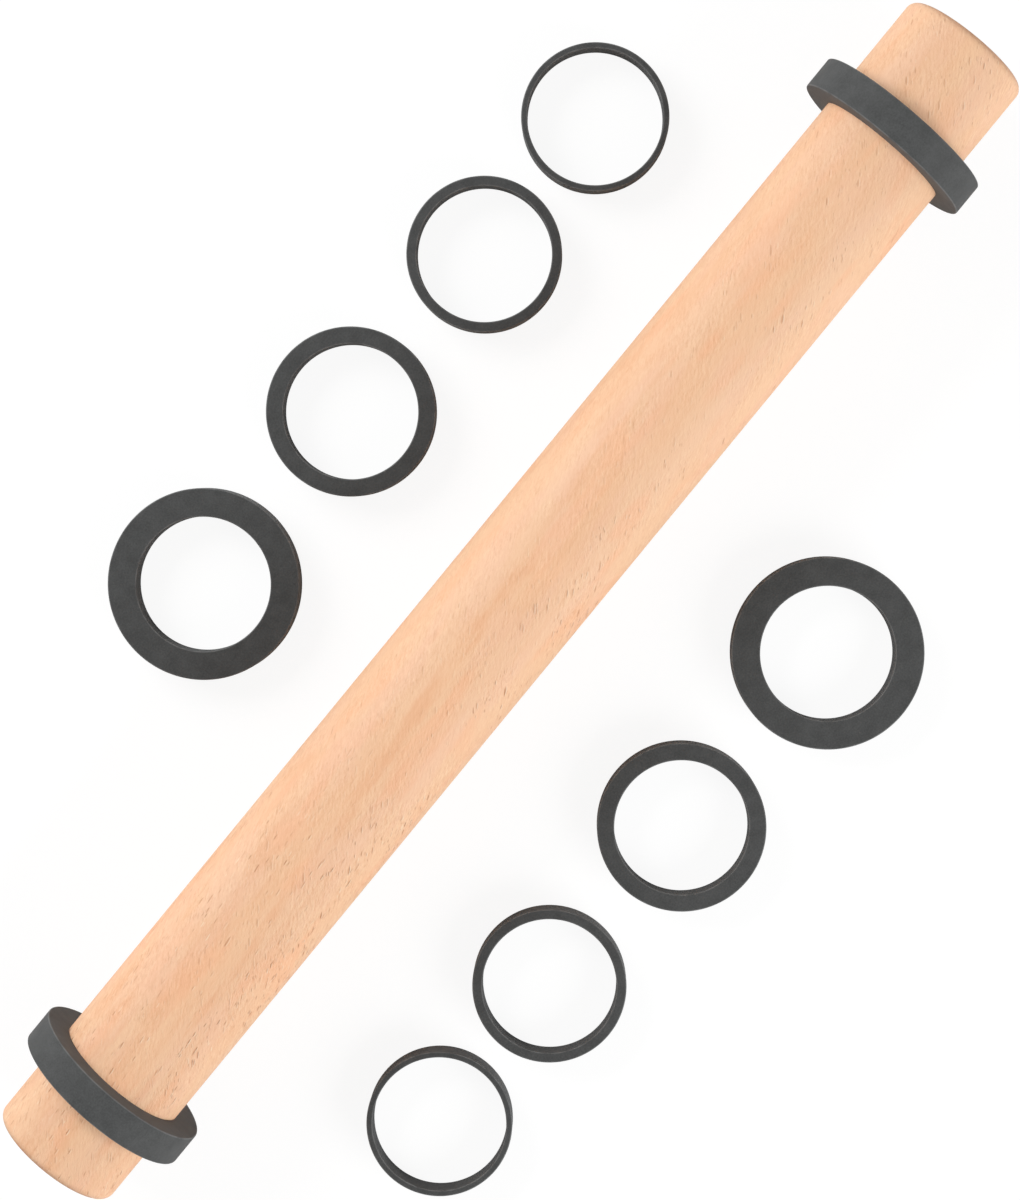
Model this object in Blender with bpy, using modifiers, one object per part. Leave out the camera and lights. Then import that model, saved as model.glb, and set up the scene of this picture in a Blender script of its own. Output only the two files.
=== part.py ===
"""Adjustable rolling pin: a straight beech dowel on a pair of silicone depth rings, and four more pairs.

Units are metres and +Z is up. The dowel lies along X, and its two fitted rings stand on the table plane
z = 0. The origin is on the table plane, at the middle of the ground that the whole set covers.
"""

import math
from dataclasses import dataclass

import bpy
from mathutils import Matrix, Vector

# Dowel
DOWEL_LENGTH = 0.463
DOWEL_DIAMETER = 0.045
DOWEL_END_ROUND = 0.003
END_ROUND_STEPS = 6

# Rings, all of one width and one relaxed bore
RING_WIDTH = 0.0109
RING_EDGE_CHAMFER = 0.0004
LOOSE_BORE_DIAMETER = 0.0444

# Fitted pair, whose bore follows the dowel
FITTED_WALL = 0.0085
BORE_CLEARANCE = 0.0003
WOOD_BEYOND_RING_A = 0.0319
WOOD_BEYOND_RING_B = 0.0250

# Radial walls of the four loose pairs
THICKEST_WALL = 0.00945
THICK_WALL = 0.0057
THIN_WALL = 0.0033
THINNEST_WALL = 0.0020

# Row a lies on the +Y side of the dowel and row b on the -Y side, each from thickest to thinnest
ROW_A_START = 0.0584
ROW_A_GAP = 0.0270
ROW_A_LEAN = math.radians(0.9)
ROW_A_RIM_GAPS = (0.0152, 0.0142, 0.0077)
ROW_B_START = 0.0544
ROW_B_GAP = 0.0372
ROW_B_LEAN = 0.0
ROW_B_RIM_GAPS = (0.0152, 0.0150, 0.0091)

# How far each ring of a row, thickest first, lies outside the row's straight line
ROW_SIDE_STEPS = (0.0003, -0.0002, -0.0004, 0.0007)

# Turning
TURN_STEPS = 64
WELD_DISTANCE = 0.00001
SHARP_ANGLE = math.radians(30.0)

# Sizes that follow from the ones above
DOWEL_RADIUS = DOWEL_DIAMETER / 2
FITTED_BORE_RADIUS = DOWEL_RADIUS + BORE_CLEARANCE
FITTED_RADIUS = FITTED_BORE_RADIUS + FITTED_WALL
LOOSE_BORE_RADIUS = LOOSE_BORE_DIAMETER / 2
THICKEST_RADIUS = LOOSE_BORE_RADIUS + THICKEST_WALL
DOWEL_Y = (ROW_B_GAP - ROW_A_GAP) / 2


@dataclass(frozen=True)
class Finish:
    """Plain colour and sheen of one material."""

    name: str
    colour: tuple[float, float, float, float]
    roughness: float


@dataclass(frozen=True)
class RingSize:
    """One thickness of loose ring."""

    name: str
    wall: float


@dataclass(frozen=True)
class Row:
    """A row of loose rings, laid from the thickest to the thinnest.

    Row a starts at minus ``start`` along X and runs towards +X. Row b is laid the same way, turned by
    ``turn`` about the dowel's middle. ``gap`` is from the dowel's side to the thickest ring, ``lean`` is
    the angle at which the row closes on the dowel, and ``rim_gaps`` are the gaps from rim to rim.
    """

    letter: str
    turn: float
    start: float
    gap: float
    lean: float
    rim_gaps: tuple[float, ...]


BEECH = Finish("beech", (0.87, 0.58, 0.37, 1.0), 0.55)
SILICONE = Finish("charcoal_silicone", (0.07, 0.07, 0.072, 1.0), 0.75)

LOOSE_SIZES = (
    RingSize("thickest", THICKEST_WALL),
    RingSize("thick", THICK_WALL),
    RingSize("thin", THIN_WALL),
    RingSize("thinnest", THINNEST_WALL),
)

ROWS = (
    Row("a", 0.0, ROW_A_START, ROW_A_GAP, ROW_A_LEAN, ROW_A_RIM_GAPS),
    Row("b", math.pi, ROW_B_START, ROW_B_GAP, ROW_B_LEAN, ROW_B_RIM_GAPS),
)


def clear_scene():
    """Remove every object that the scene starts with."""
    for obj in list(bpy.data.objects):
        bpy.data.objects.remove(obj, do_unlink=True)


def make_material(finish):
    """Return a Principled material with the finish's colour and roughness."""
    material = bpy.data.materials.new(finish.name)
    material.use_nodes = True
    shader = material.node_tree.nodes["Principled BSDF"]
    shader.inputs["Base Color"].default_value = finish.colour
    shader.inputs["Roughness"].default_value = finish.roughness
    shader.inputs["Metallic"].default_value = 0.0
    return material


def make_collection(name):
    """Return a new collection of the scene."""
    collection = bpy.data.collections.new(name)
    bpy.context.scene.collection.children.link(collection)
    return collection


def make_empty(name, collection, location, turn):
    """Return an empty at the location, turned about Z."""
    empty = bpy.data.objects.new(name, None)
    empty.location = location
    empty.rotation_euler = (0.0, 0.0, turn)
    collection.objects.link(empty)
    return empty


def round_corner(centre, radius, start, sweep, steps):
    """Return the (radius, height) points of an arc about the centre, both ends included."""
    points = []
    for step in range(steps + 1):
        angle = start + sweep * step / steps
        points.append((centre[0] + radius * math.cos(angle), centre[1] + radius * math.sin(angle)))
    return points


def dowel_outline():
    """Return the dowel's half section from its top pole down its side to its bottom pole."""
    half_length = DOWEL_LENGTH / 2
    round_radius = DOWEL_RADIUS - DOWEL_END_ROUND
    round_height = half_length - DOWEL_END_ROUND
    quarter = math.pi / 2
    top = round_corner((round_radius, round_height), DOWEL_END_ROUND, quarter, -quarter, END_ROUND_STEPS)
    bottom = round_corner((round_radius, -round_height), DOWEL_END_ROUND, 0.0, -quarter, END_ROUND_STEPS)
    return [(0.0, half_length), *top, *bottom, (0.0, -half_length)]


def ring_outline(bore_radius, wall):
    """Return a ring's section, down its outer side and up its bore, with chamfered edges."""
    half_width = RING_WIDTH / 2
    outer_radius = bore_radius + wall
    edge = RING_EDGE_CHAMFER
    return [
        (outer_radius - edge, half_width),
        (outer_radius, half_width - edge),
        (outer_radius, edge - half_width),
        (outer_radius - edge, -half_width),
        (bore_radius + edge, -half_width),
        (bore_radius, edge - half_width),
        (bore_radius, half_width - edge),
        (bore_radius + edge, half_width),
    ]


def turned_mesh(name, outline, is_ring, material, collection):
    """Turn an outline of (radius, height) points once round Z and return it as a smooth-shaded mesh."""
    count = len(outline)
    edges = [(index, index + 1) for index in range(count - 1)]
    if is_ring:
        edges.append((count - 1, 0))
    profile = bpy.data.meshes.new(name + "_profile")
    profile.from_pydata([(radius, 0.0, height) for radius, height in outline], edges, [])
    carrier = bpy.data.objects.new(name + "_profile", profile)
    collection.objects.link(carrier)
    turn = carrier.modifiers.new("Turn", "SCREW")
    turn.axis = "Z"
    turn.angle = 2 * math.pi
    turn.steps = TURN_STEPS
    turn.render_steps = TURN_STEPS
    turn.use_merge_vertices = True
    turn.merge_threshold = WELD_DISTANCE
    graph = bpy.context.evaluated_depsgraph_get()
    mesh = bpy.data.meshes.new_from_object(carrier.evaluated_get(graph))
    mesh.name = name
    mesh.shade_smooth()
    mesh.set_sharp_from_angle(angle=SHARP_ANGLE)
    mesh.materials.clear()
    mesh.materials.append(material)
    bpy.data.objects.remove(carrier)
    bpy.data.meshes.remove(profile)
    return mesh


def place(name, mesh, collection, parent, location):
    """Return a new object of the mesh at a location in its parent's frame."""
    obj = bpy.data.objects.new(name, mesh)
    obj.parent = parent
    obj.location = location
    collection.objects.link(obj)
    return obj


def build_dowel(material, collection):
    """Lay the dowel along X at the height at which its fitted rings hold it."""
    mesh = turned_mesh("dowel", dowel_outline(), False, material, collection)
    dowel = place("dowel", mesh, collection, None, (0.0, DOWEL_Y, FITTED_RADIUS))
    dowel.rotation_euler = (0.0, math.pi / 2, 0.0)
    return dowel


def build_fitted_rings(dowel, material, collection):
    """Push one ring over each end of the dowel, whose local Z is its axis."""
    outline = ring_outline(FITTED_BORE_RADIUS, FITTED_WALL)
    mesh = turned_mesh("fitted_ring", outline, True, material, collection)
    ring_from_middle = (DOWEL_LENGTH - RING_WIDTH) / 2
    place("fitted_ring_a", mesh, collection, dowel, (0.0, 0.0, ring_from_middle - WOOD_BEYOND_RING_A))
    place("fitted_ring_b", mesh, collection, dowel, (0.0, 0.0, WOOD_BEYOND_RING_B - ring_from_middle))


def row_places(row):
    """Return each loose ring's distance along the row, measured from the thickest ring's centre."""
    places = [0.0]
    for nearer, farther, rim_gap in zip(LOOSE_SIZES, LOOSE_SIZES[1:], row.rim_gaps):
        radii = 2 * LOOSE_BORE_RADIUS + nearer.wall + farther.wall
        places.append(places[-1] + radii + rim_gap)
    return places


def build_loose_rings(material, collection):
    """Lay both rows of loose rings flat on the table plane."""
    meshes = []
    for size in LOOSE_SIZES:
        outline = ring_outline(LOOSE_BORE_RADIUS, size.wall)
        meshes.append(turned_mesh(size.name + "_ring", outline, True, material, collection))
    for row in ROWS:
        side = DOWEL_RADIUS + row.gap + THICKEST_RADIUS
        from_middle = Matrix.Rotation(row.turn, 3, "Z") @ Vector((-row.start, side, RING_WIDTH / 2))
        start = from_middle + Vector((0.0, DOWEL_Y, 0.0))
        rail = make_empty("row_" + row.letter, collection, start, row.turn - row.lean)
        for size, mesh, along, aside in zip(LOOSE_SIZES, meshes, row_places(row), ROW_SIDE_STEPS):
            place(size.name + "_ring_" + row.letter, mesh, collection, rail, (along, aside, 0.0))


def main():
    """Build the dowel and its five pairs of rings."""
    clear_scene()
    collection = make_collection("adjustable_rolling_pin")
    beech = make_material(BEECH)
    silicone = make_material(SILICONE)
    dowel = build_dowel(beech, collection)
    build_fitted_rings(dowel, silicone, collection)
    build_loose_rings(silicone, collection)


main()
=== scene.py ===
"""Looks of the adjustable rolling pin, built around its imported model.

The dowel is one straight piece of turned beech, and the ten depth rings are moulded silicone. A geometry
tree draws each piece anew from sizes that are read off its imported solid, and the piece stands for that
solid. Lengths are in metres, but in millimetres where a name ends in _mm and in the patterns of a finish.
"""

import logging
import math
from dataclasses import dataclass, field
from enum import Enum
from functools import reduce
from typing import Any

import bpy
import numpy as np
from mathutils import Color, Matrix, Vector


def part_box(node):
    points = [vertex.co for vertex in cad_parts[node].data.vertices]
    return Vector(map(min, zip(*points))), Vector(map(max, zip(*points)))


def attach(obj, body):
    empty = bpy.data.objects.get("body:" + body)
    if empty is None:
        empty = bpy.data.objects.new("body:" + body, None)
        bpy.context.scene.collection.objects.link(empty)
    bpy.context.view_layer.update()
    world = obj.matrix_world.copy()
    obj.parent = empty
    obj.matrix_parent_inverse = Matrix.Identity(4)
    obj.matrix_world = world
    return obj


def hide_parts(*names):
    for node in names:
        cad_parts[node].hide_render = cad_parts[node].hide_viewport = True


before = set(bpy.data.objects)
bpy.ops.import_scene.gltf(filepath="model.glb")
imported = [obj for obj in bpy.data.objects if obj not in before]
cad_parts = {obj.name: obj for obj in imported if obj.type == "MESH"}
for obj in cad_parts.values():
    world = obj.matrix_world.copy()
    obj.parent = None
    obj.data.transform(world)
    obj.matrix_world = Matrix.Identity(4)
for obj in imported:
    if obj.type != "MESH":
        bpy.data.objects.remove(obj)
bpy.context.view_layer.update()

MM_PER_METRE = 1000.0
QUARTER_TURN = math.pi / 2
FULL_TURN = 2 * math.pi

# The top level of a channel on a screen
TOP_LEVEL = 255
WHITE = (1.0, 1.0, 1.0, 1.0)

# The value that a noise node's results lie about
NOISE_MEAN = 0.5

log = logging.getLogger("rolling_pin")

Pair = tuple[float, float]
Triple = tuple[float, float, float]
Colour = tuple[float, float, float, float]
Piece = bpy.types.Object
Material = bpy.types.Material
Node = bpy.types.Node
Socket = bpy.types.NodeSocket
Value = Socket | Vector | float | tuple


def paint(*levels: int) -> Colour:
    """Turn a colour as a screen shows it into the linear colour that a shader takes.

    Args:
        *levels: its red, green and blue, each from 0 to 255.

    Returns:
        The linear red, green and blue, and full opacity.
    """
    shown = Color([level / TOP_LEVEL for level in levels])
    return (*shown.from_srgb_to_scene_linear(), 1.0)


class Axis(Enum):
    """The axis that a piece was turned or moulded about."""

    ALONG = 0
    UPRIGHT = 2

    def turn(self) -> Triple:
        """Return the Euler angles that lay a shape made about Z on this axis."""
        return (0.0, QUARTER_TURN, 0.0) if self is Axis.ALONG else (0.0, 0.0, 0.0)


class Step(Enum):
    """How a ramp goes from its start to its end."""

    SMOOTH = "SMOOTHSTEP"
    STRAIGHT = "LINEAR"


@dataclass(frozen=True)
class Ramp:
    """A step between two results, held beyond both of its ends.

    Attributes:
        low: the value that gives start.
        high: the value that gives end.
        start: the result at low.
        end: the result at high.
        step: how it goes from one to the other.
    """

    low: Value
    high: Value
    start: Value = 0.0
    end: Value = 1.0
    step: Step = Step.SMOOTH


# A ramp that gives 1 everywhere
EVEN = Ramp(0.0, 1.0, 1.0, 1.0)


@dataclass(frozen=True)
class Grain:
    """A noise that is drawn out along X.

    Attributes:
        length: length of one streak of it.
        thickness: thickness of the streak.
        detail: number of finer layers.
        roughness: strength of each finer layer.
    """

    length: float
    thickness: float
    detail: float = 2.0
    roughness: float = 0.5


@dataclass(frozen=True)
class Patches:
    """A pattern that is drawn from a grain.

    Attributes:
        grain: the noise.
        ramp: what is made of it.
    """

    grain: Grain
    ramp: Ramp


@dataclass(frozen=True)
class Solid:
    """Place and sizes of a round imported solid.

    Attributes:
        centre: its middle.
        half_length: half of its length along the axis that it is round about.
        bore_radius: the smallest distance of its surface from the axis.
        outer_radius: the largest distance of its surface from the axis.
    """

    centre: Vector
    half_length: float
    bore_radius: float
    outer_radius: float

    @classmethod
    def measure(cls, node: str, axis: Axis) -> "Solid":
        """Read a solid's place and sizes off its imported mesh.

        Args:
            node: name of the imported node.
            axis: the axis that the solid is round about.

        Returns:
            The measured solid.
        """
        low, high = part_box(node)
        centre = (low + high) / 2
        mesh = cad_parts[node].data
        places = np.empty(len(mesh.vertices) * 3)
        mesh.vertices.foreach_get("co", places)
        offsets = np.delete(places.reshape(-1, 3) - np.array(centre), axis.value, axis=1)
        radii = np.linalg.norm(offsets, axis=1)
        half_length = (high - low)[axis.value] / 2
        return cls(centre, half_length, float(radii.min()), float(radii.max()))


class Graph:
    """A node tree that is filled node by node."""

    MIX_UNDER = 6
    MIX_OVER = 7
    MIX_RESULT = 2

    def __init__(self, tree: bpy.types.NodeTree) -> None:
        """Take the tree to fill."""
        self.tree = tree

    def add(self, kind: str, inputs: dict[int | str, Value] | None = None, **settings: Any) -> Node:
        """Add a node.

        Args:
            kind: the node's type.
            inputs: what its inputs take, by name or place: another node's socket, or a plain value.
            **settings: the node's own properties.

        Returns:
            The new node.
        """
        node = self.tree.nodes.new(kind)
        for name, value in settings.items():
            setattr(node, name, value)
        for key, source in (inputs or {}).items():
            self.fill(node.inputs[key], source)
        return node

    def fill(self, socket: Socket, source: Value) -> None:
        """Link a socket to another node's, or set it to a plain value.

        Args:
            socket: the input.
            source: what it takes.
        """
        if isinstance(source, Socket):
            self.tree.links.new(source, socket)
        else:
            socket.default_value = source

    def math(self, operation: str, *terms: Value) -> Socket:
        """Return the result of a sum on up to three numbers."""
        return self.add("ShaderNodeMath", dict(enumerate(terms)), operation=operation).outputs[0]

    def product(self, *factors: Value) -> Value:
        """Return the product of any number of factors."""
        return reduce(lambda total, factor: self.math("MULTIPLY", total, factor), factors)

    def weighted(self, start: Value, *pairs: tuple[Value, Value]) -> Value:
        """Return a number plus others, each times its weight."""
        return reduce(lambda total, pair: self.math("MULTIPLY_ADD", *pair, total), pairs, start)

    def vector_math(self, operation: str, *terms: Value, result: int | str = 0) -> Socket:
        """Return the vector, or another result, that an operation on vectors gives."""
        return self.add("ShaderNodeVectorMath", dict(enumerate(terms)), operation=operation).outputs[result]

    def in_mm(self, vector: Value) -> Socket:
        """Return a vector of metres in millimetres."""
        inputs = {"Vector": vector, "Scale": MM_PER_METRE}
        return self.add("ShaderNodeVectorMath", inputs, operation="SCALE").outputs[0]

    def vector(self, x: Value, y: Value, z: Value) -> Socket:
        """Return a vector put together from three numbers."""
        return self.add("ShaderNodeCombineXYZ", {0: x, 1: y, 2: z}).outputs[0]

    def parts(self, vector: Value) -> tuple[Socket, ...]:
        """Return the X, Y and Z of a vector."""
        return tuple(self.add("ShaderNodeSeparateXYZ", {0: vector}).outputs)

    def ramp(self, value: Value, ramp: Ramp) -> Socket:
        """Return what a ramp makes of a value."""
        inputs = {0: value, 1: ramp.low, 2: ramp.high, 3: ramp.start, 4: ramp.end}
        return self.add("ShaderNodeMapRange", inputs, interpolation_type=ramp.step.value).outputs[0]

    def mix(self, share: Value, under: Value, over: Value, mode: str = "MIX") -> Socket:
        """Lay one colour over another.

        Args:
            share: how much of the upper colour shows, from 0 to 1.
            under: the lower colour.
            over: the upper colour.
            mode: how the two are blended.

        Returns:
            The blended colour.
        """
        inputs = {0: share, self.MIX_UNDER: under, self.MIX_OVER: over}
        node = self.add("ShaderNodeMix", inputs, data_type="RGBA", blend_type=mode)
        return node.outputs[self.MIX_RESULT]


class ShapeTree(Graph):
    """A geometry tree with named inputs that makes the mesh of a piece."""

    FINISH_INPUT = "Finish"

    def __init__(self, name: str) -> None:
        """Start a tree that gives out geometry.

        Args:
            name: the tree's name.
        """
        super().__init__(bpy.data.node_groups.new(name, "GeometryNodeTree"))
        self.tree.is_modifier = True
        self.tree.interface.new_socket("Geometry", in_out="OUTPUT", socket_type="NodeSocketGeometry")
        self.identifiers: dict[str, str] = {}
        self.group_input = self.tree.nodes.new("NodeGroupInput")

    def ask(self, kind: str, *names: str) -> list[Socket]:
        """Add named inputs to the tree.

        Args:
            kind: their socket type, without the words that all of them start with.
            *names: the inputs' names.

        Returns:
            The sockets that carry their values.
        """
        for name in names:
            item = self.tree.interface.new_socket(name, in_out="INPUT", socket_type="NodeSocket" + kind)
            self.identifiers[name] = item.identifier
        carriers = {socket.identifier: socket for socket in self.group_input.outputs}
        return [carriers[self.identifiers[name]] for name in names]

    def position(self) -> Socket:
        """Return the place of each point."""
        return self.add("GeometryNodeInputPosition").outputs[0]

    def close(self, geometry: Socket) -> None:
        """End the tree in plain smooth faces, with an input for their finish.

        Args:
            geometry: the finished shape.
        """
        smooth = self.add("GeometryNodeSetShadeSmooth", {"Geometry": geometry})
        real = self.add("GeometryNodeRealizeInstances", {"Geometry": smooth.outputs[0]})
        finish = self.ask("Material", self.FINISH_INPUT)[0]
        dressed = self.add("GeometryNodeSetMaterial", {"Geometry": real.outputs[0], "Material": finish})
        self.add("NodeGroupOutput", {0: dressed.outputs[0]})

    def make(self, name: str, values: dict[str, Any]) -> Piece:
        """Run the tree once and keep its result as a plain mesh.

        Args:
            name: name of the new piece.
            values: what each named input is set to.

        Returns:
            The piece, at the origin, with its place in its mesh.
        """
        start = bpy.data.meshes.new(name + "_start")
        piece = bpy.data.objects.new(name, start)
        bpy.context.scene.collection.objects.link(piece)
        shape = piece.modifiers.new("Shape", "NODES")
        shape.node_group = self.tree
        for label, value in values.items():
            shape[self.identifiers[label]] = value
        piece.modifiers.new("Shading", "WEIGHTED_NORMAL")
        graph = bpy.context.evaluated_depsgraph_get()
        mesh = bpy.data.meshes.new_from_object(piece.evaluated_get(graph), depsgraph=graph)
        piece.modifiers.clear()
        piece.data = mesh
        bpy.data.meshes.remove(start)
        mesh.name = name
        return piece


class RingTree(ShapeTree):
    """Draws a moulded ring: a rounded rectangle swept round a circle."""

    SECTION = "section"
    HALF_SECTION = "half_section"

    def __init__(self) -> None:
        """Build the tree."""
        super().__init__("moulded_ring")
        bore_radius, wall, width = self.ask("Float", "Bore Radius", "Wall", "Width")
        edge_round = self.ask("Float", "Edge Round")[0]
        edge_steps, turn_steps = self.ask("Int", "Edge Steps", "Turn Steps")
        slant, centre, lie = self.ask("Vector", "Slant", "Centre", "Lie")
        half_wall = self.math("DIVIDE", wall, 2.0)
        half_width = self.math("DIVIDE", width, 2.0)
        middle = self.math("ADD", bore_radius, half_wall)
        rail = self.add("GeometryNodeCurvePrimitiveCircle", {"Resolution": turn_steps, "Radius": middle})
        section = self.rounded_section(wall, width, edge_round, edge_steps)
        sweep = {"Curve": rail.outputs["Curve"], "Profile Curve": section}
        swept = self.add("GeometryNodeCurveToMesh", sweep).outputs[0]
        marked = self.mark(swept, self.HALF_SECTION, self.vector(half_wall, half_width, 0.0))
        lay = {"Geometry": self.slanted(marked, slant), "Translation": centre, "Rotation": lie}
        self.close(self.add("GeometryNodeTransform", lay).outputs[0])

    def slanted(self, geometry: Socket, slant: Socket) -> Socket:
        """Slide every point along the ring's axis, which slants its faces and keeps its bore round.

        Args:
            geometry: the ring, about Z.
            slant: how far a point slides for each metre along X and Y.

        Returns:
            The slanted ring.
        """
        slide = self.vector_math("DOT_PRODUCT", self.position(), slant, result="Value")
        inputs = {"Geometry": geometry, "Offset": self.vector(0.0, 0.0, slide)}
        return self.add("GeometryNodeSetPosition", inputs).outputs[0]

    def mark(self, geometry: Socket, name: str, value: Value) -> Socket:
        """Store a vector on every point under a name, for the finish to read."""
        inputs = {"Geometry": geometry, "Name": name, "Value": value}
        return self.add("GeometryNodeStoreNamedAttribute", inputs, data_type="FLOAT_VECTOR").outputs[0]

    def rounded_section(self, wall: Value, width: Value, edge_round: Value, steps: Value) -> Socket:
        """Draw the ring's section, and store on it how far each point is from its middle.

        Args:
            wall: the section's size across the wall.
            width: its size along the ring's axis.
            edge_round: radius of its corners.
            steps: number of points on each corner.

        Returns:
            The closed curve.
        """
        block = self.add("GeometryNodeCurvePrimitiveQuadrilateral", {"Width": wall, "Height": width})
        corners = {"Curve": block.outputs[0], "Radius": edge_round, "Count": steps}
        rounded = self.add("GeometryNodeFilletCurve", corners, mode="POLY")
        return self.mark(rounded.outputs[0], self.SECTION, self.position())


class DowelTree(ShapeTree):
    """Draws the turned dowel: a grid whose rows run from pole to pole and whose columns run round it."""

    POLE_WELD = 1e-6

    def __init__(self) -> None:
        """Build the tree."""
        super().__init__("turned_dowel")
        half_length, radius, end_round = self.ask("Float", "Half Length", "Radius", "End Round")
        end_rows, round_rows, side_rows = self.ask("Int", "End Rows", "Round Rows", "Side Rows")
        turn_steps = self.ask("Int", "Turn Steps")[0]
        centre = self.ask("Vector", "Centre")[0]
        rounded_rows = self.math("ADD", end_rows, round_rows)
        half_rows = self.math("ADD", rounded_rows, side_rows)
        all_rows = self.product(half_rows, 2.0)
        sheet = self.add("GeometryNodeMeshGrid", {
            "Size X": 1.0,
            "Size Y": 1.0,
            "Vertices X": self.math("ADD", all_rows, 1.0),
            "Vertices Y": self.math("ADD", turn_steps, 1.0),
        })
        run, round_share, _ = self.parts(self.position())
        from_middle = self.product(self.math("ABSOLUTE", run), all_rows)
        row = self.math("SUBTRACT", half_rows, from_middle)
        flat_radius = self.math("SUBTRACT", radius, end_round)
        flat = self.ramp(row, Ramp(0.0, end_rows, 0.0, flat_radius, Step.STRAIGHT))
        bend = self.ramp(row, Ramp(end_rows, rounded_rows, 0.0, QUARTER_TURN, Step.STRAIGHT))
        straight = self.math("SUBTRACT", half_length, end_round)
        along = self.ramp(row, Ramp(rounded_rows, half_rows, straight, 0.0, Step.STRAIGHT))
        out = self.math("MULTIPLY_ADD", end_round, self.math("SINE", bend), flat)
        reach = self.math("MULTIPLY_ADD", end_round, self.math("COSINE", bend), along)
        place = self.around(self.product(reach, self.math("SIGN", run)), out, round_share)
        turned = self.add("GeometryNodeSetPosition", {"Geometry": sheet.outputs["Mesh"], "Position": place})
        weld = {"Geometry": turned.outputs[0], "Distance": self.POLE_WELD}
        welded = self.add("GeometryNodeMergeByDistance", weld)
        placed = self.add("GeometryNodeTransform", {"Geometry": welded.outputs[0], "Translation": centre})
        self.close(placed.outputs[0])

    def around(self, along: Value, out: Value, share: Value) -> Socket:
        """Find a place about X.

        Args:
            along: its distance along X.
            out: its distance from X.
            share: its share of a full turn.

        Returns:
            The place.
        """
        angle = self.product(share, FULL_TURN)
        y = self.product(out, self.math("COSINE", angle))
        z = self.product(out, self.math("SINE", angle))
        return self.vector(along, y, z)


class Surface(Graph):
    """A material's node tree, with its Principled shader and a place that is measured in millimetres."""

    def __init__(self, name: str, centre: Vector) -> None:
        """Start a material.

        Args:
            name: the material's name.
            centre: the point that its patterns are measured from.
        """
        self.material = bpy.data.materials.new(name)
        self.material.use_nodes = True
        super().__init__(self.material.node_tree)
        self.shader = self.tree.nodes["Principled BSDF"]
        coordinates = self.add("ShaderNodeTexCoord").outputs["Object"]
        centred = self.vector_math("SUBTRACT", coordinates, tuple(centre))
        self.place_mm = self.in_mm(centred)

    def feed(self, **inputs: Value) -> None:
        """Set or link inputs of the shader, whose names are written with underscores for spaces."""
        for name, source in inputs.items():
            self.fill(self.shader.inputs[name.replace("_", " ")], source)

    def streaky(self, place: Value, grain: Grain) -> Node:
        """Draw a grain.

        Args:
            place: the place.
            grain: the sizes of its streaks.

        Returns:
            A node with a number from 0 to 1 and a colour.
        """
        scaled = self.vector_math("DIVIDE", place, (grain.length, grain.thickness, grain.thickness))
        inputs = {"Vector": scaled, "Scale": 1.0, "Detail": grain.detail, "Roughness": grain.roughness}
        return self.add("ShaderNodeTexNoise", inputs)

    def grained(self, place: Value, grain: Grain) -> Socket:
        """Return the number that a grain has at a place, from 0 to 1."""
        return self.streaky(place, grain).outputs[0]

    def patched(self, place: Value, patches: Patches) -> Socket:
        """Return the value that a pattern has at a place."""
        return self.ramp(self.grained(place, patches.grain), patches.ramp)

    def swing(self, value: Value) -> Socket:
        """Return how far a noise's result is above its mean."""
        return self.math("SUBTRACT", value, NOISE_MEAN)

    def relief(self, height: Value, depth: float, under: Socket | None = None) -> Socket:
        """Bump the surface.

        Args:
            height: the height pattern.
            depth: the real height that 1 stands for, in metres.
            under: the normal that the bump is laid over, if any.

        Returns:
            The bumped normal.
        """
        inputs = {"Height": height, "Distance": depth, "Strength": 1.0}
        if under is not None:
            inputs["Normal"] = under
        return self.add("ShaderNodeBump", inputs).outputs[0]


@dataclass(frozen=True)
class Trunk:
    """How the dowel lay in the tree.

    Attributes:
        fibre_turn: how the fibres are turned off the dowel's axis.
        pith: place of the tree's pith across the dowel, in Y and Z.
        drift: the slow waves in the fibres.
        drift_reach: how far the waves go.
    """

    fibre_turn: Triple = (0.0, math.radians(-2.26), math.radians(2.5))
    pith: Pair = (149.0, 134.0)
    drift: Grain = Grain(120.0, 26.0, 1.0)
    drift_reach: float = 5.0


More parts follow.
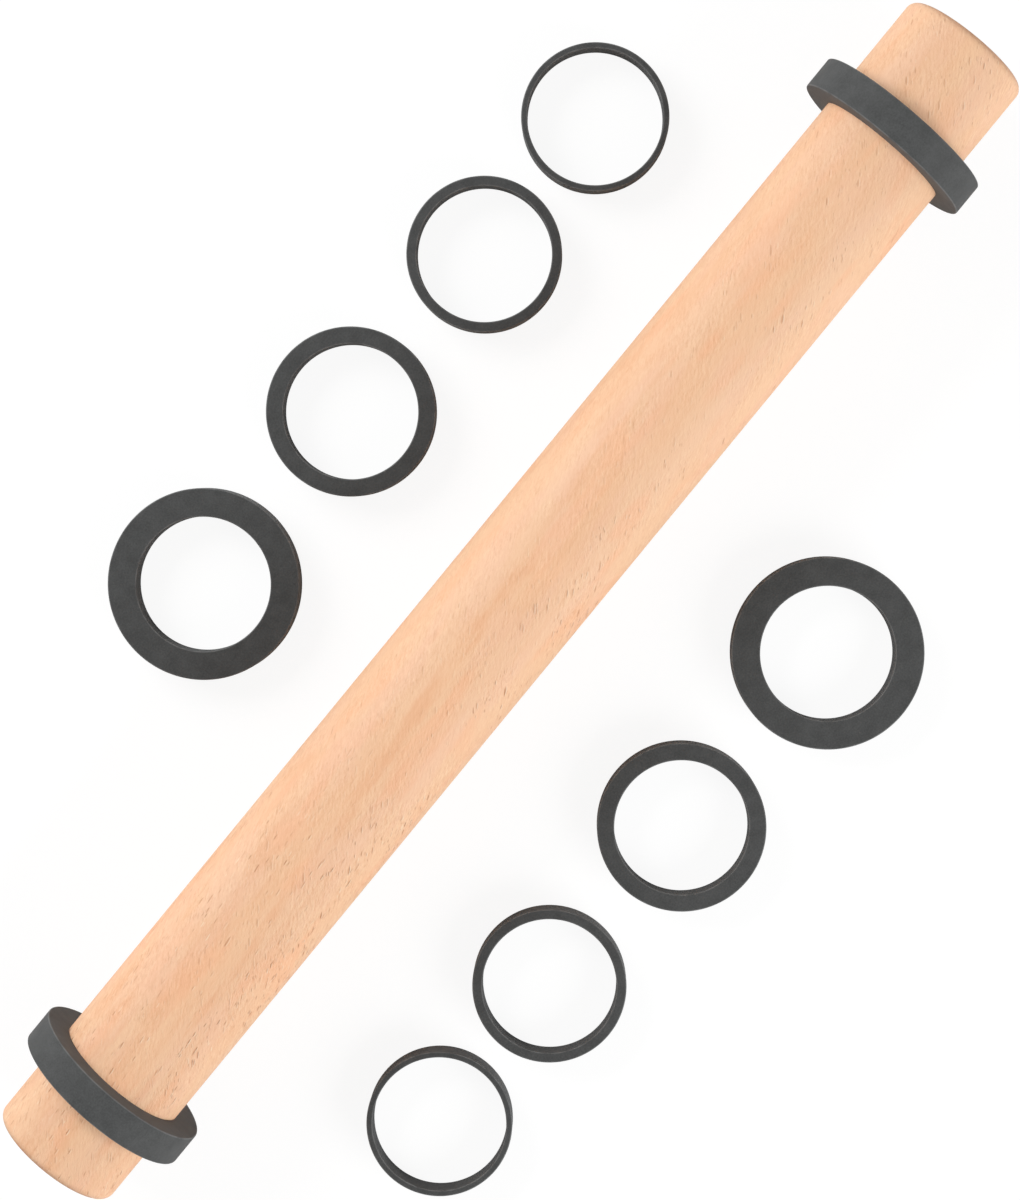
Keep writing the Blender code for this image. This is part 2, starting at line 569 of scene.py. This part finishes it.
class Wood(Surface):
    """A surface that is cut to a dowel along X and knows where each point of it lay in the tree.

    Its further places are fibres, measured along the drifting fibres, and along, out and around, which
    are how far a point lies along the pith, out from it and round it.
    """

    def __init__(self, dowel: Solid, trunk: Trunk) -> None:
        """Start the material.

        Args:
            dowel: the solid that the wood is cut to.
            trunk: how the dowel lay in the tree.
        """
        super().__init__("beech", dowel.centre)
        self.half_length_mm = dowel.half_length * MM_PER_METRE
        self.radius_mm = dowel.outer_radius * MM_PER_METRE
        turned = {"Vector": self.place_mm, "Rotation": trunk.fibre_turn}
        straight = self.add("ShaderNodeMapping", turned, vector_type="TEXTURE").outputs[0]
        waves = self.streaky(straight, trunk.drift).outputs[1]
        drift = self.vector_math("SUBTRACT", waves, (NOISE_MEAN, NOISE_MEAN, NOISE_MEAN))
        reach = (0.0, trunk.drift_reach, trunk.drift_reach)
        self.fibres = self.vector_math("MULTIPLY_ADD", drift, reach, straight)
        self.along, y, z = self.parts(self.vector_math("SUBTRACT", self.fibres, (0.0, *trunk.pith)))
        self.out = self.math("SQRT", self.math("MULTIPLY_ADD", y, y, self.product(z, z)))
        self.around = self.product(self.math("ARCTAN2", y, z), math.hypot(*trunk.pith))

    def wound(self, place: Value, slope: float) -> Socket:
        """Wind a place about the dowel, so that what is drawn out along X climbs round its side.

        Args:
            place: the place.
            slope: angle of the climb.

        Returns:
            The wound place.
        """
        angle = self.product(self.parts(place)[0], math.tan(slope) / self.radius_mm)
        inputs = {"Vector": place, "Angle": angle}
        return self.add("ShaderNodeVectorRotate", inputs, rotation_type="X_AXIS").outputs[0]

    def beyond(self) -> Socket:
        """Return how far a point lies beyond the nearer end, which is below 0 inside the dowel."""
        reach = self.math("ABSOLUTE", self.parts(self.place_mm)[0])
        return self.math("SUBTRACT", reach, self.half_length_mm)


@dataclass(frozen=True)
class GrowthRings:
    """The tree's growth rings, with broken pore lines along their borders.

    Attributes:
        year: thickness of one ring.
        shift: moves the borders, in rings.
        seed: picks which years end dark.
        waves: the long waves in the borders.
        wave_reach: how far they go, in rings.
        ragged: the short waves in the borders.
        ragged_reach: how far they go, in rings.
        rise: how a year darkens.
        fall: how it ends.
        strength: how dark the years are, from the palest to the darkest.
        border: where in a year its pore line starts.
        dashes: the dashes that the pore lines are broken into.
        fade_along: how the years fade towards +X.
        fade_out: how they fade away from the pith.
        end_strength: how strongly they show on the end faces.
        line_out: how the pore lines fade away from the pith.
    """

    year: float = 5.3
    shift: float = -0.11
    seed: float = 2445.0
    waves: Grain = Grain(60.0, 11.0, 1.0)
    wave_reach: float = 0.5
    ragged: Grain = Grain(10.0, 2.4, 2.0, 0.6)
    ragged_reach: float = 0.7
    rise: Ramp = Ramp(0.0, 0.4)
    fall: Ramp = Ramp(0.6, 1.0, 1.0, 0.0)
    strength: Ramp = Ramp(0.0, 1.0, 0.02, 1.0, Step.STRAIGHT)
    border: Ramp = Ramp(0.8, 0.9)
    dashes: Patches = Patches(Grain(4.0, 0.8, 1.0), Ramp(0.5, 0.66))
    fade_along: Ramp = Ramp(20.0, 140.0, 0.37, 0.26)
    fade_out: Ramp = Ramp(194.0, 206.0, 1.0, 0.12)
    end_strength: float = 1.2
    line_out: Ramp = Ramp(196.0, 210.0, 1.0, 0.15)

    def draw(self, wood: Wood, end: Socket) -> tuple[Socket, Socket]:
        """Draw the rings and their pore lines.

        Args:
            wood: the material's tree.
            end: 1 on the end faces and 0 on the side.

        Returns:
            How dark the rings are, and how strong the pore lines.
        """
        sway = wood.swing(wood.grained(wood.fibres, self.waves))
        ragged = wood.swing(wood.grained(wood.fibres, self.ragged))
        count = wood.weighted(self.shift, (sway, self.wave_reach), (ragged, self.ragged_reach),
                              (wood.out, 1 / self.year))
        phase = wood.math("FRACT", count)
        number = wood.math("ADD", wood.math("FLOOR", count), self.seed)
        year = wood.add("ShaderNodeTexWhiteNoise", {"W": number}, noise_dimensions="1D")
        strength = wood.ramp(year.outputs["Value"], self.strength)
        fall = wood.ramp(phase, self.fall)
        fade = wood.product(wood.ramp(wood.along, self.fade_along), wood.ramp(wood.out, self.fade_out))
        fade = wood.ramp(end, Ramp(0.0, 1.0, fade, self.end_strength, Step.STRAIGHT))
        late = wood.product(wood.ramp(phase, self.rise), fall, strength, fade)
        dashes = wood.patched(wood.fibres, self.dashes)
        line = wood.product(wood.ramp(phase, self.border), fall, dashes, wood.ramp(wood.out, self.line_out))
        return late, line


@dataclass(frozen=True)
class StrokeSize:
    """One size of stroke, each in a room of its own.

    Attributes:
        length: length of the room.
        thickness: thickness of the room.
        reach: the largest stroke's radius, as a share of the room.
        share: share of the rooms that hold a stroke.
        strength: how dark the darkest of them is.
    """

    length: float
    thickness: float
    reach: float
    share: float
    strength: float


@dataclass(frozen=True)
class Strokes:
    """The wood's rays, seen as short dark strokes that climb round the dowel.

    Attributes:
        slope: angle of the climb.
        sizes: their sizes.
        along: how strong they are along the pith.
        out: how strong they are outward from the pith.
        smallest: the smallest stroke's radius, as a share of the largest one's.
        core: radius of a stroke's fully dark core, as a share of the stroke's.
    """

    slope: float
    sizes: tuple[StrokeSize, ...]
    along: Ramp
    out: Ramp = EVEN
    smallest: float = 0.4
    core: float = 0.5

    def share(self, wood: Wood, cluster: Value) -> Value:
        """Return how strong the strokes are in a part of the tree and in a cluster."""
        return wood.product(wood.ramp(wood.out, self.out), wood.ramp(wood.along, self.along), cluster)

    def draw(self, wood: Wood, place: Value) -> Value:
        """Draw strokes of every size, at their full strength.

        Args:
            wood: the material's tree.
            place: the place.

        Returns:
            How dark they are, from 0 to 1.
        """
        wound = wood.wound(place, self.slope)
        marks = 0.0
        for size in self.sizes:
            room = wood.vector_math("DIVIDE", wound, (size.length, size.thickness, size.thickness))
            node = wood.add("ShaderNodeTexVoronoi", {"Vector": room, "Scale": 1.0, "Randomness": 1.0})
            red, green, _ = wood.parts(node.outputs["Color"])
            smallest = self.smallest * size.reach
            radius = wood.ramp(red, Ramp(0.0, 1.0, smallest, size.reach, Step.STRAIGHT))
            core = wood.product(radius, self.core)
            stroke = wood.ramp(node.outputs["Distance"], Ramp(core, radius, 1.0, 0.0))
            dark = wood.ramp(green, Ramp(1.0 - size.share, 1.0, 0.0, size.strength, Step.STRAIGHT))
            marks = wood.math("MAXIMUM", wood.product(stroke, dark), marks)
        return marks


@dataclass(frozen=True)
class Nap:
    """Raised fibres on the sanded side.

    Attributes:
        slope: angle at which they climb round the dowel.
        fibres: their sizes.
        patches: the patches where they stand up more.
        out: how strong they are outward from the pith.
        along: how strong they are along the pith.
    """

    slope: float = math.radians(30.0)
    fibres: Grain = Grain(2.0, 1.0, 3.0, 0.66)
    patches: Patches = Patches(Grain(16.0, 7.0, 1.0), Ramp(0.38, 0.6, 0.5, 0.95))
    out: Ramp = Ramp(180.0, 192.0, 0.7, 1.0)
    along: Ramp = Ramp(-160.0, 160.0, 1.15, 0.75)

    def draw(self, wood: Wood, beside: Value) -> tuple[Value, Value]:
        """Draw the nap.

        Args:
            wood: the material's tree.
            beside: a place a little to the side of the point.

        Returns:
            How much it rises from beside the point to it, and how high it stands.
        """
        near = wood.grained(wood.wound(wood.place_mm, self.slope), self.fibres)
        far = wood.grained(wood.wound(beside, self.slope), self.fibres)
        share = wood.product(wood.patched(wood.fibres, self.patches), wood.ramp(wood.out, self.out),
                             wood.ramp(wood.along, self.along))
        return wood.product(wood.math("SUBTRACT", near, far), share), wood.product(wood.swing(near), share)


@dataclass(frozen=True)
class BeechFinish:
    """Bare sanded beech: soft growth rings with broken pore lines, and short dark rays.

    Attributes:
        early: the pale wood that a year starts with.
        late: the darker wood that it ends with.
        rose: the warm patches.
        cool: the greyer patches.
        pore: the pore lines and the rays.
        ray_highlight: the painted highlight beside a ray, standing for light on one side of its relief.
        end_tint: what the end grain is multiplied by.
        end_grain: where the side turns into end grain, measured from the end.
        trunk: how the dowel lay in the tree.
        growth: the growth rings.
        nap: the raised fibres.
        rays: the rays.
        flecks: the rays that run nearly along the fibres.
        clusters: how strong the rays are off and on a cluster of them.
        light_step: step from a point to the place beside it that its painted highlight and painted relief
            shade are read from, for the rays and the nap.
        band_rise: the near side of a broad dark band, outward from the pith.
        band_fall: its far side.
        band_tone: how dark it is.
        blotches: how much of a dark band is left off and on a blotch.
        hues: the patches of colour.
        warm_share: how much rose a patch has.
        cool_share: how much grey a patch has.
        deep_share: where a patch is dark.
        deep_tone: how dark it is.
        streaks: the fine streaks.
        streak_out: how dark it is outward from the pith.
        streak_along: how dark it is along the pith.
        pores: the pores.
        pore_shade: how they shade the colour.
        relief_shade: how strongly the nap's lean is painted in as light and shade, standing for light on its
            relief.
        nap_shade: how the nap's height shades it.
        shade_shares: how much this shading takes from red, green and blue.
        line_share: how strong the pore lines are.
        spokes: the rays where they are seen on end.
        heights: relief of the nap, the rays, the pores and the pore lines.
        depth: real height of 1 in the relief, in metres.
        roughness: roughness from a ray to a smooth pore.
        specular: specular level.
        sheen: weight and roughness of the sheen.
    """

    early: Colour = paint(247, 201, 162)
    late: Colour = paint(235, 168, 123)
    rose: Colour = paint(250, 188, 146)
    cool: Colour = paint(247, 198, 165)
    pore: Colour = paint(198, 122, 74)
    ray_highlight: Colour = paint(255, 232, 205)
    end_tint: Colour = paint(232, 214, 200)
    end_grain: Ramp = Ramp(-1.6, -0.1)
    trunk: Trunk = Trunk()
    growth: GrowthRings = GrowthRings()
    nap: Nap = Nap()
    rays: Strokes = Strokes(
        slope=math.radians(36.0),
        sizes=(
            StrokeSize(3.4, 1.1, 0.46, 0.34, 0.76),
            StrokeSize(5.0, 1.4, 0.4, 0.18, 0.8),
            StrokeSize(2.0, 0.75, 0.46, 0.32, 0.56),
        ),
        along=Ramp(-80.0, 100.0, 1.0, 0.65),
        out=Ramp(182.0, 198.0, 0.42, 1.0),
    )
    flecks: Strokes = Strokes(
        slope=math.radians(7.0),
        sizes=(
            StrokeSize(6.5, 1.0, 0.4, 0.24, 0.62),
            StrokeSize(3.6, 0.8, 0.44, 0.24, 0.6),
        ),
        along=Ramp(-110.0, -30.0, 1.0, 0.0),
    )
    clusters: Patches = Patches(Grain(20.0, 7.0, 1.0), Ramp(0.42, 0.56, 0.3, 1.0))
    light_step: Triple = (-0.12, 0.32, 0.1)
    band_rise: Ramp = Ramp(183.0, 191.0)
    band_fall: Ramp = Ramp(191.0, 201.0, 1.0, 0.0)
    band_tone: float = 0.13
    blotches: Patches = Patches(Grain(13.0, 5.0), Ramp(0.36, 0.6, 0.3, 1.0))
    hues: Grain = Grain(30.0, 8.0, 1.0)
    warm_share: Ramp = Ramp(0.5, 0.7, 0.0, 0.5)
    cool_share: Ramp = Ramp(0.46, 0.66, 0.0, 0.4)
    deep_share: Ramp = Ramp(0.4, 0.66)
    deep_tone: float = 0.08
    streaks: Patches = Patches(Grain(38.0, 1.9, 3.0, 0.55), Ramp(0.4, 0.7))
    streak_out: Ramp = Ramp(190.0, 204.0, 0.09, 0.03)
    streak_along: Ramp = Ramp(-150.0, -20.0, 1.6, 0.8)
    pores: Grain = Grain(9.0, 0.2, 3.0, 0.6)
    pore_shade: Ramp = Ramp(0.25, 0.75, -0.035, 0.02, Step.STRAIGHT)
    relief_shade: float = 0.66
    nap_shade: float = 0.22
    shade_shares: Triple = (0.5, 1.0, 1.35)
    line_share: float = 0.42
    spokes: Patches = Patches(Grain(5.0, 0.5), Ramp(0.42, 0.62, 0.0, 0.32))
    heights: tuple[float, float, float, float] = (5.5, -7.0, 0.35, -0.9)
    depth: float = 0.00005
    roughness: Ramp = Ramp(-0.4, 0.9, 0.5, 0.62, Step.STRAIGHT)
    specular: float = 0.5
    sheen: Pair = (0.06, 0.5)

    def material(self, dowel: Solid) -> Material:
        """Make the finish for one dowel.

        Args:
            dowel: the solid that the wood is cut to.

        Returns:
            The material.
        """
        wood = Wood(dowel, self.trunk)
        end = wood.ramp(wood.beyond(), self.end_grain)
        beside = wood.vector_math("ADD", wood.place_mm, self.light_step)
        late, line = self.growth.draw(wood, end)
        rays, rays_beside = self.marks(wood, beside)
        lean, nap = self.nap.draw(wood, beside)
        pores = wood.grained(wood.fibres, self.pores)
        # Painted light and shade: the nap's lean makes the colour paler or darker, as its relief would look
        # under the lamps. The pores and the nap's height are the wood's own tone.
        fine = wood.weighted(wood.ramp(pores, self.pore_shade), (lean, self.relief_shade),
                             (nap, self.nap_shade))
        shade = wood.vector(*(wood.weighted(1.0, (fine, share)) for share in self.shade_shares))
        colour = wood.mix(1.0, self.ground(wood, late), shade, "MULTIPLY")
        colour = wood.mix(wood.product(line, self.line_share), colour, self.pore)
        # Painted highlight: a paler colour beside each ray and fleck, standing for the light that catches
        # one side of its relief.
        colour = wood.mix(wood.math("MAXIMUM", wood.math("SUBTRACT", rays_beside, rays), 0.0), colour, self.ray_highlight)
        colour = wood.mix(rays, colour, self.pore)
        colour = wood.mix(end, colour, self.end_tint, "MULTIPLY")
        spokes = wood.patched(wood.vector(wood.out, wood.around, 0.0), self.spokes)
        colour = wood.mix(wood.product(spokes, end), colour, self.late)
        height = wood.weighted(0.0, *zip((nap, rays, pores, line), self.heights))
        roughness = wood.ramp(wood.math("SUBTRACT", pores, rays), self.roughness)
        weight, spread = self.sheen
        wood.feed(Base_Color=colour, Roughness=roughness, Normal=wood.relief(height, self.depth))
        wood.feed(Specular_IOR_Level=self.specular, Sheen_Weight=weight, Sheen_Roughness=spread)
        return wood.material

    def marks(self, wood: Wood, beside: Value) -> tuple[Value, ...]:
        """Draw the rays and flecks, and what the painted highlights beside them are drawn from.

        Args:
            wood: the material's tree.
            beside: a place a little to the side of the point.

        Returns:
            How dark a ray or fleck is at the point, and how dark one is beside it, from which the painted
            highlight is drawn.
        """
        cluster = wood.patched(wood.fibres, self.clusters)
        kinds = [(kind, kind.share(wood, cluster)) for kind in (self.rays, self.flecks)]
        places = (wood.place_mm, beside)
        drawn = ([wood.product(kind.draw(wood, place), share) for kind, share in kinds] for place in places)
        return tuple(wood.math("MAXIMUM", *pair) for pair in drawn)

    def ground(self, wood: Wood, late: Value) -> Socket:
        """Colour the wood under its pores and rays.

        Args:
            wood: the material's tree.
            late: how dark the growth rings are.

        Returns:
            The colour.
        """
        warm, grey, deep = wood.parts(wood.streaky(wood.fibres, self.hues).outputs[1])
        band = wood.product(wood.ramp(wood.out, self.band_rise), wood.ramp(wood.out, self.band_fall))
        blotch = wood.patched(wood.fibres, self.blotches)
        tone = wood.product(wood.weighted(late, (band, self.band_tone)), blotch)
        streaks = wood.product(wood.patched(wood.fibres, self.streaks), wood.ramp(wood.out, self.streak_out))
        tone = wood.weighted(tone, (wood.ramp(deep, self.deep_share), self.deep_tone),
                             (streaks, wood.ramp(wood.along, self.streak_along)))
        colour = wood.mix(tone, self.early, self.late)
        colour = wood.mix(wood.ramp(warm, self.warm_share), colour, self.rose)
        return wood.mix(wood.ramp(grey, self.cool_share), colour, self.cool)


@dataclass(frozen=True)
class SiliconeFinish:
    """Matte charcoal silicone, with a painted highlight along its edges and painted sheen on its outer side.

    Attributes:
        body: the colour of the faces.
        edge_highlight: the colour of the painted highlight along the edges.
        highlight_share: how much of that colour shows.
        rim: how the painted edge highlight fades onto a face, measured from the edge, and where the painted
            outer sheen ends.
        outer_sheen: how much paler the outer side is painted than the other faces, as painted sheen.
        mottle: the broad unevenness of the surface.
        highlight_breakup: how the mottle breaks up the painted edge highlight.
        speckle: the fine unevenness of the surface.
        speckle_share: strength of the speckle beside that of the mottle.
        shade: how the two shade the colour.
        mottle_depth: depth of the mottle, in metres.
        speckle_depth: depth of the speckle, in metres.
        roughness: roughness across the speckle.
        specular: specular level.
        sheen: weight and roughness of the sheen.
    """

    body: Colour = paint(73, 74, 74)
    edge_highlight: Colour = paint(150, 150, 150)
    highlight_share: float = 0.4
    rim: Ramp = Ramp(0.1, 0.5, 1.0, 0.0)
    outer_sheen: float = 1.22
    mottle: Grain = Grain(5.0, 5.0)
    highlight_breakup: Ramp = Ramp(0.3, 0.6, 0.45, 1.0)
    speckle: Grain = Grain(0.6, 0.6, 1.0, 0.6)
    speckle_share: float = 1.2
    shade: Ramp = Ramp(0.75, 1.45, 0.82, 1.18, Step.STRAIGHT)
    mottle_depth: float = 0.00008
    speckle_depth: float = 0.000025
    roughness: Ramp = Ramp(0.3, 0.7, 0.57, 0.7, Step.STRAIGHT)
    specular: float = 0.2
    sheen: Pair = (0.05, 0.5)

    def material(self) -> Material:
        """Make the finish, which all the rings share.

        Returns:
            The material.
        """
        rubber = Surface("charcoal_silicone", Vector())
        mottle = rubber.grained(rubber.place_mm, self.mottle)
        speckle = rubber.grained(rubber.place_mm, self.speckle)
        rim, outer = self.painted_light_masks(rubber)
        shade = rubber.ramp(rubber.weighted(mottle, (speckle, self.speckle_share)), self.shade)
        # Painted sheen: the outer side is made paler to stand for the sheen that light gives it at grazing
        # angles.
        shade = rubber.product(shade, rubber.ramp(outer, Ramp(0.0, 1.0, 1.0, self.outer_sheen, Step.STRAIGHT)))
        colour = rubber.mix(1.0, self.body, rubber.vector(shade, shade, shade), "MULTIPLY")
        # Painted highlight: the edges are made paler to stand for the light that their rounds catch, broken
        # up by the mottle.
        highlight_share = rubber.product(rim, rubber.ramp(mottle, self.highlight_breakup), self.highlight_share)
        colour = rubber.mix(highlight_share, colour, self.edge_highlight)
        normal = rubber.relief(speckle, self.speckle_depth, rubber.relief(mottle, self.mottle_depth))
        weight, spread = self.sheen
        rubber.feed(Base_Color=colour, Roughness=rubber.ramp(speckle, self.roughness), Normal=normal)
        rubber.feed(Specular_IOR_Level=self.specular, Sheen_Weight=weight, Sheen_Roughness=spread)
        return rubber.material

    def painted_light_masks(self, rubber: Surface) -> tuple[Socket, Socket]:
        """Find where a ring's painted edge highlight and painted sheen go.

        Args:
            rubber: the material's tree.

        Returns:
            A value that is 1 along the four edges, falling to 0 on the faces, for the painted highlight, and
            one that is 1 on the outer side, which rolls on the table, and 0 elsewhere, for the painted
            sheen.
        """
        section = rubber.add("ShaderNodeAttribute", attribute_name=RingTree.SECTION).outputs["Vector"]
        half = rubber.add("ShaderNodeAttribute", attribute_name=RingTree.HALF_SECTION).outputs["Vector"]
        inward = rubber.vector_math("SUBTRACT", half, rubber.vector_math("ABSOLUTE", section))
        from_side, from_top, _ = rubber.parts(rubber.in_mm(inward))
        from_edge = rubber.math("MAXIMUM", from_side, from_top)
        from_outer = rubber.parts(rubber.in_mm(rubber.vector_math("SUBTRACT", half, section)))[0]
        return rubber.ramp(from_edge, self.rim), rubber.ramp(from_outer, self.rim)


@dataclass(frozen=True)
class TableFinish:
    """Plain white table that keeps soft shadows.

    Attributes:
        colour: how white the table is where light falls on it.
        roughness: its roughness.
        glow: what the camera sees added to it, from where shadows show to where it is plain white.
        share: how much of the real light and shade the camera sees.
    """

    colour: Colour = paint(236, 236, 236)
    roughness: float = 0.9
    glow: Ramp = Ramp(350.0, 1200.0, 0.9, 1.0)
    share: float = 0.16

    def material(self) -> Material:
        """Make the finish.

        Returns:
            The material, which lights the set as matte white and is seen by the camera as nearly white.
        """
        table = Surface("white_table", Vector())
        table.feed(Base_Color=self.colour, Roughness=self.roughness, Specular_IOR_Level=0.0)
        reach = table.vector_math("LENGTH", table.place_mm, result="Value")
        light = table.add("ShaderNodeEmission", {"Color": WHITE, "Strength": table.ramp(reach, self.glow)})
        dimmed = tuple(channel * self.share for channel in self.colour[:3])
        dim = table.add("ShaderNodeBsdfDiffuse", {"Color": (*dimmed, 1.0)})
        seen = table.add("ShaderNodeAddShader", {0: light.outputs[0], 1: dim.outputs[0]})
        by_camera = table.add("ShaderNodeLightPath").outputs["Is Camera Ray"]
        lit_or_seen = {0: by_camera, 1: table.shader.outputs[0], 2: seen.outputs[0]}
        mixed = table.add("ShaderNodeMixShader", lit_or_seen)
        output = next(n for n in table.tree.nodes if n.type == "OUTPUT_MATERIAL")
        table.fill(output.inputs["Surface"], mixed.outputs[0])
        return table.material


@dataclass
class Dowel:
    """The straight beech dowel.

    Attributes:
        end_round: radius of the edge round at each end.
        end_rows: rows of faces across each flat end.
        round_rows: rows of faces along each edge round.
        side_rows: rows of faces along half of the side.
        turn_steps: columns of faces round the dowel.
        finish: the wood.
    """

    end_round: float = 0.003
    end_rows: int = 4
    round_rows: int = 10
    side_rows: int = 40
    turn_steps: int = 192
    finish: BeechFinish = BeechFinish()

    def build(self) -> Piece:
        """Draw the dowel.

        Returns:
            The dressed piece, riding on its body.
        """
        node = "dowel"
        solid = Solid.measure(node, Axis.ALONG)
        tree = DowelTree()
        piece = tree.make(node + "_beech", {
            "Half Length": solid.half_length,
            "Radius": solid.outer_radius,
            "End Round": self.end_round,
            "End Rows": self.end_rows,
            "Round Rows": self.round_rows,
            "Side Rows": self.side_rows,
            "Turn Steps": self.turn_steps,
            "Centre": solid.centre,
            tree.FINISH_INPUT: self.finish.material(solid),
        })
        return stand_in(piece, node)


@dataclass
class Rings:
    """The depth rings: one pair pushed onto the dowel, and four pairs laid beside it.

    Attributes:
        edge_round: radius of a ring's edges.
        edge_steps: rows of faces along each edge.
        turn_steps: columns of faces round a ring.
        squeeze: how much a fitted ring's bore radius closes on the wood from its solid's.
        slants: how far a fitted ring's points lie along the dowel for each metre along Y and Z.
        finish: the silicone.
    """

    edge_round: float = 0.0004
    edge_steps: int = 4
    turn_steps: int = 160
    squeeze: float = 0.00026
    slants: dict[str, Pair] = field(default_factory=lambda: {
        "fitted_ring_a": (0.020, -0.0095),
        "fitted_ring_b": (0.028, -0.0155),
    })
    finish: SiliconeFinish = SiliconeFinish()

    def build(self) -> list[Piece]:
        """Draw every ring.

        Returns:
            The dressed pieces, each riding on its own body.
        """
        tree = RingTree()
        material = self.finish.material()
        names = sorted(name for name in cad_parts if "_ring_" in name)
        return [self.draw(tree, name, material) for name in names]

    def draw(self, tree: RingTree, name: str, material: Material) -> Piece:
        """Draw one ring.

        Args:
            tree: the geometry tree of a ring.
            name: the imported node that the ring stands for.
            material: the silicone.

        Returns:
            The dressed piece.
        """
        axis = Axis.ALONG if name.startswith("fitted") else Axis.UPRIGHT
        solid = Solid.measure(name, axis)
        bore = solid.bore_radius - self.squeeze if axis is Axis.ALONG else solid.bore_radius
        lean_y, lean_z = self.slants.get(name, (0.0, 0.0))
        piece = tree.make(name + "_silicone", {
            "Bore Radius": bore,
            "Wall": solid.outer_radius - bore,
            "Width": 2 * solid.half_length,
            "Edge Round": self.edge_round,
            "Edge Steps": self.edge_steps,
            "Turn Steps": self.turn_steps,
            "Slant": (-lean_z, lean_y, 0.0),
            "Centre": solid.centre,
            "Lie": axis.turn(),
            tree.FINISH_INPUT: material,
        })
        return stand_in(piece, name)


@dataclass(frozen=True)
class Lamp:
    """A soft rectangular studio lamp, aimed at a point.

    Attributes:
        name: the lamp's name.
        place: where it stands.
        power: its power in watts.
        aim: the point that it faces.
        size: its width and height.
    """

    name: str
    place: Triple
    power: float
    aim: Triple = (0.0, 0.0, 0.0)
    size: Pair = (0.8, 0.6)

    def build(self) -> None:
        """Hang the lamp where the camera doesn't see it."""
        data = bpy.data.lights.new(self.name, "AREA")
        data.shape = "RECTANGLE"
        data.size, data.size_y = self.size
        data.energy = self.power
        lamp = bpy.data.objects.new(self.name, data)
        lamp.location = self.place
        facing = Vector(self.aim) - Vector(self.place)
        lamp.rotation_euler = facing.to_track_quat("-Z", "Y").to_euler()
        lamp.visible_camera = False
        bpy.context.scene.collection.objects.link(lamp)


@dataclass
class Studio:
    """White table, plain soft light and the camera.

    Attributes:
        table_half_size: half of the table's side.
        table_drop: how far the table lies under the rings, so that no two faces coincide.
        table_finish: the white of the table.
        fill: strength of the even light from all round.
        lamps: the soft lamps.
        camera_place: where the camera stands.
        picture_right: the direction that points right in the picture.
        picture_down: the direction that points down in the picture.
        lens_mm: focal length on a sensor whose long side is 36 mm.
    """

    table_half_size: float = 3.0
    table_drop: float = 0.0001
    table_finish: TableFinish = TableFinish()
    fill: float = 0.25
    lamps: tuple[Lamp, ...] = (
        Lamp("lamp_upper_left", (0.0, 1.05, 0.68), 12.7),
        Lamp("lamp_lower_right", (0.0, -1.1, 0.62), 12.2),
    )
    camera_place: Triple = (0.0471, 0.0150, 0.9710)
    picture_right: Triple = (0.6344, -0.7731, -0.0221)
    picture_down: Triple = (-0.7731, -0.6344, 0.0430)
    lens_mm: float = 87.75

    def build(self) -> None:
        """Set up the table, the light and the camera."""
        self.lay_table()
        self.light()
        self.aim_camera()
        bpy.context.scene.view_settings.view_transform = "Standard"

    def lay_table(self) -> None:
        """Lay the white table under the set."""
        half = self.table_half_size
        corners = [(-half, -half), (half, -half), (half, half), (-half, half)]
        mesh = bpy.data.meshes.new("white_table")
        mesh.from_pydata([(x, y, -self.table_drop) for x, y in corners], [], [(0, 1, 2, 3)])
        mesh.materials.append(self.table_finish.material())
        table = bpy.data.objects.new("white_table", mesh)
        bpy.context.scene.collection.objects.link(table)

    def light(self) -> None:
        """Hang the lamps, and fill the room with even light that the camera sees as white."""
        for lamp in self.lamps:
            lamp.build()
        world = bpy.data.worlds.new("studio")
        bpy.context.scene.world = world
        world.use_nodes = True
        room = Graph(world.node_tree)
        seen = room.add("ShaderNodeLightPath").outputs["Is Camera Ray"]
        background = next(n for n in room.tree.nodes if n.type == "BACKGROUND")
        room.fill(background.inputs["Color"], WHITE)
        room.fill(background.inputs["Strength"], room.math("MAXIMUM", seen, self.fill))

    def aim_camera(self) -> None:
        """Place the camera over the set, turned as the picture is."""
        data = bpy.data.cameras.new("camera")
        data.lens = self.lens_mm
        camera = bpy.data.objects.new("camera", data)
        right = Vector(self.picture_right).normalized()
        back = Vector(self.picture_down).cross(right).normalized()
        turn = Matrix((right, back.cross(right), back)).transposed().to_4x4()
        camera.matrix_world = Matrix.Translation(self.camera_place) @ turn
        bpy.context.scene.collection.objects.link(camera)
        bpy.context.scene.camera = camera


def stand_in(piece: Piece, node: str) -> Piece:
    """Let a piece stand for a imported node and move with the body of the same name.

    Args:
        piece: the piece that is shown.
        node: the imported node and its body.

    Returns:
        The piece.
    """
    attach(piece, node)
    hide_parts(node)
    return piece


def main() -> None:
    """Build the pieces in order, report each of them, and build the studio round them."""
    logging.basicConfig(level=logging.INFO, format="%(name)s: %(message)s")
    for piece in (Dowel().build(), *Rings().build()):
        log.info("%s: %d faces", piece.name, len(piece.data.polygons))
    Studio().build()


if __name__ == "__main__":
    main()
